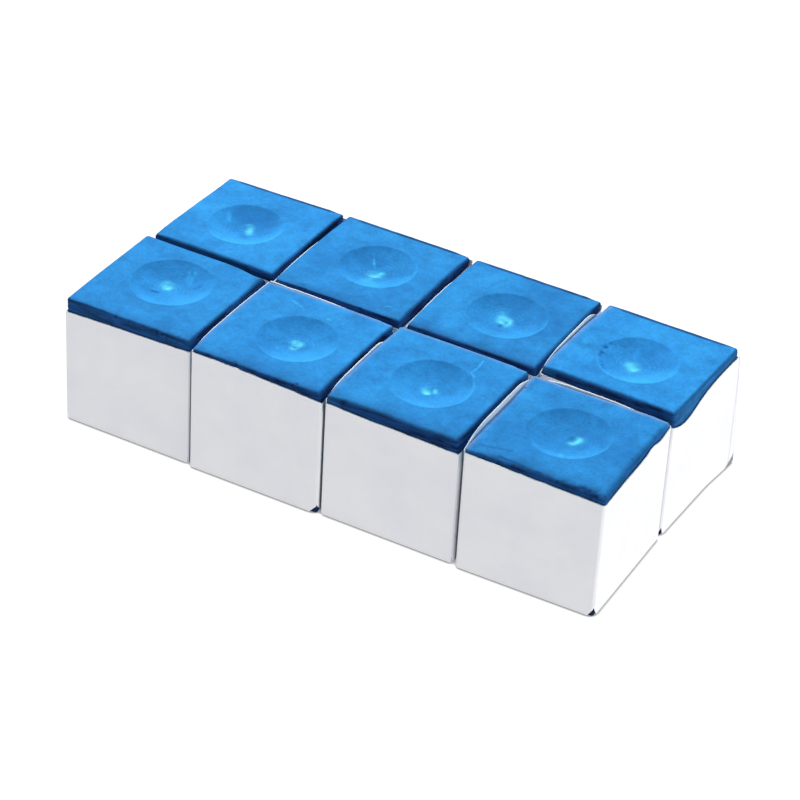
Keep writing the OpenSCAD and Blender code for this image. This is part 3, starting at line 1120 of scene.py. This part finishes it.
def chalk_colour(nodes, tone, mottle, grain):
    """Mottled blue powder with paler and deeper patches and painted light and shade on the dish,
    over the dark of the bare sides, with painted shade above the label's edge, in the pit and at the
    foot, painted light along some edges and painted highlights in the pit.
    """
    grain_share = nodes.times(grain, 1 - MOTTLE_SHARE)
    powder = nodes.math("ADD", nodes.times(mottle, MOTTLE_SHARE), grain_share)
    dull = scaled(AZURE, (1 - AZURE_SPREAD) * tone)
    bright = scaled(AZURE, (1 + AZURE_SPREAD) * tone)
    face = nodes.mix(nodes.span(powder, *POWDER_SPAN), dull, bright)
    speckle = nodes.span(grain, *NOISE_SPAN, 1 - GRAIN_SPREAD, 1 + GRAIN_SPREAD)
    pale = nodes.times(nodes.mark("pale"), speckle)
    # The pale mark carries powder and also painted light and shade on the dish
    lighter = nodes.span(pale, *PALE_SPAN, 0, PALE_MOST)
    face = nodes.mix(lighter, face, scaled(PALE_POWDER, tone))
    deeper = nodes.span(pale, *DEEP_SPAN, 0, PALE_MOST)
    face = nodes.mix(deeper, face, scaled(DEEP_POWDER, tone))
    # Painted light along some of the top's edges
    face = nodes.mix(nodes.mark("worn"), face, WORN_EDGE)
    uneven = nodes.span(mottle, *NOISE_SPAN, -LAYER_SPREAD, LAYER_SPREAD)
    layers = nodes.math("ADD", nodes.mark("strata"), uneven, clamp=True)
    navy = nodes.mix(layers, DARK_LAYER, LIGHT_LAYER)
    # The dark of the bare sides, also carrying painted shade above the label's edge and in the pit
    colour = nodes.mix(nodes.mark("skirt"), face, navy)
    # Dark crumbs, and painted shade at the foot
    crumbs = nodes.times(nodes.mark("crumbs"), CRUMB_MOST, clamp=True)
    colour = nodes.mix(crumbs, colour, CRUMB_COLOUR)
    # Painted highlights in the pits
    glint = nodes.times(nodes.mark("glint"), GLINT_MOST, clamp=True)
    return nodes.mix(glint, colour, GLINT_COLOUR)


def chalk_material(place, tone):
    nodes = Nodes("chalk_" + place)
    at = nodes.place()
    mottle = nodes.noise(at, *CHALK_MOTTLE)
    grain = nodes.noise(at, *CHALK_GRAIN)
    height = nodes.math("ADD", nodes.times(grain, GRAIN_HEIGHT), mottle)
    return nodes.finish(nodes.add("ShaderNodeBsdfPrincipled", {
        "Base Color": chalk_colour(nodes, tone, mottle, grain),
        "Roughness": nodes.span(grain, *NOISE_SPAN, *CHALK_ROUGHNESS),
        "Specular IOR Level": CHALK_SPECULAR,
        "Normal": nodes.bump(height, *CHALK_BUMP),
    }))


def paper_colour(nodes, cloud, fibre):
    """Cloudy white paper, with a painted highlight along its top edge, chalk dust, and painted shade
    in the gaps, at a corner's foot and along folds.
    """
    tint = nodes.mix(nodes.span(cloud, *CLOUD_SPAN), PAPER_DARK, PAPER_LIGHT)
    colour = nodes.mix(nodes.span(fibre, *NOISE_SPAN, 0, FIBRE_MOST), tint, FIBRE_COLOUR)
    # Painted highlight along the top edge
    colour = nodes.mix(nodes.mark("rim"), colour, PAPER_RIM)
    patchy = nodes.span(cloud, *NOISE_SPAN, *DUST_PATCHY)
    dust = nodes.times(nodes.mark("dust"), patchy, clamp=True)
    colour = nodes.mix(dust, colour, DUST_COLOUR)
    # Painted shade in the gaps and at a corner's foot
    colour = nodes.mix(nodes.mark("gap"), colour, GAP_COLOUR)
    return nodes.mix(nodes.mark("crease"), colour, CREASE_COLOUR)


def paper_material():
    nodes = Nodes("label_paper")
    at = nodes.place()
    cloud = nodes.noise(at, *PAPER_CLOUD)
    fibre = nodes.noise(at, *PAPER_FIBRE)
    height = nodes.math("ADD", fibre, nodes.times(cloud, CLOUD_HEIGHT))
    return nodes.finish(nodes.add("ShaderNodeBsdfPrincipled", {
        "Base Color": paper_colour(nodes, cloud, fibre),
        "Roughness": nodes.span(cloud, *NOISE_SPAN, *PAPER_ROUGHNESS),
        "Specular IOR Level": PAPER_SPECULAR,
        "Normal": nodes.bump(height, *PAPER_BUMP),
    }))


def floor_material():
    """A white floor that glows evenly, with a painted contact shadow, from ambient occlusion, right
    where something touches it.
    """
    nodes = Nodes("studio_floor")
    contact = nodes.add("ShaderNodeAmbientOcclusion", {"Distance": CONTACT_REACH}, samples=16)
    glow = nodes.span(contact.outputs["AO"], *CONTACT_SPAN, *CONTACT_GLOW)
    return nodes.finish(nodes.add("ShaderNodeEmission", {"Strength": glow}))


# Studio

def camera():
    data = bpy.data.cameras.new("camera")
    data.lens, data.sensor_width = LENS, SENSOR
    data.clip_start, data.clip_end = CLIP
    turn, rise = math.radians(CAMERA_TURN), math.radians(CAMERA_RISE)
    back = Vector((
        math.sin(turn) * math.cos(rise), -math.cos(turn) * math.cos(rise), math.sin(rise),
    ))
    roll = Matrix.Rotation(math.radians(CAMERA_ROLL), 3, "Z").to_quaternion()
    eye = bpy.data.objects.new("camera", data)
    eye.location = AIM + back * CAMERA_AWAY
    eye.rotation_mode = "QUATERNION"
    eye.rotation_quaternion = (-back).to_track_quat("-Z", "Y") @ roll
    bpy.context.collection.objects.link(eye)
    bpy.context.scene.camera = eye


def lamp(name, towards, power, size, tint=(1, 1, 1)):
    data = bpy.data.lights.new(name, "AREA")
    data.color = tint
    data.shape, data.size, data.energy = "SQUARE", size, power
    light = bpy.data.objects.new(name, data)
    direction = Vector(towards).normalized()
    light.location = direction * LAMP_AWAY
    light.rotation_mode = "QUATERNION"
    light.rotation_quaternion = direction.to_track_quat("Z", "Y")
    bpy.context.collection.objects.link(light)


def floor():
    corners = np.array([(-1, -1, 0), (1, -1, 0), (1, 1, 0), (-1, 1, 0)]) * FLOOR_HALF
    sheet = mesh_object("studio_floor", corners - (0, 0, FLOOR_DROP), [(0, 1, 2, 3)])
    sheet.data.materials.append(floor_material())


def sky():
    world = bpy.data.worlds.new("studio")
    bpy.context.scene.world = world
    world.use_nodes = True
    background = world.node_tree.nodes["Background"]
    background.inputs["Color"].default_value = (1, 1, 1, 1)
    background.inputs["Strength"].default_value = SKY_STRENGTH


def plain_view():
    view = bpy.context.scene.view_settings
    view.view_transform = "Standard"
    view.look = "None"
    view.exposure, view.gamma = 0.0, 1.0


camera()
floor()
lamp("key", towards=(-0.50, 0.50, 0.70), power=9.0, size=0.25)
lamp("right_fill", towards=(0.97, 0.0, 0.2), power=4.2, size=0.6, tint=(1.0, 0.985, 0.95))
sky()
plain_view()
paper = paper_material()
for place, look in LOOKS.items():
    chalk = chalk_piece(place, look)
    chalk.data.materials.append(chalk_material(place, look["tone"]))
    label = label_piece(place, look)
    label.data.materials.append(paper)
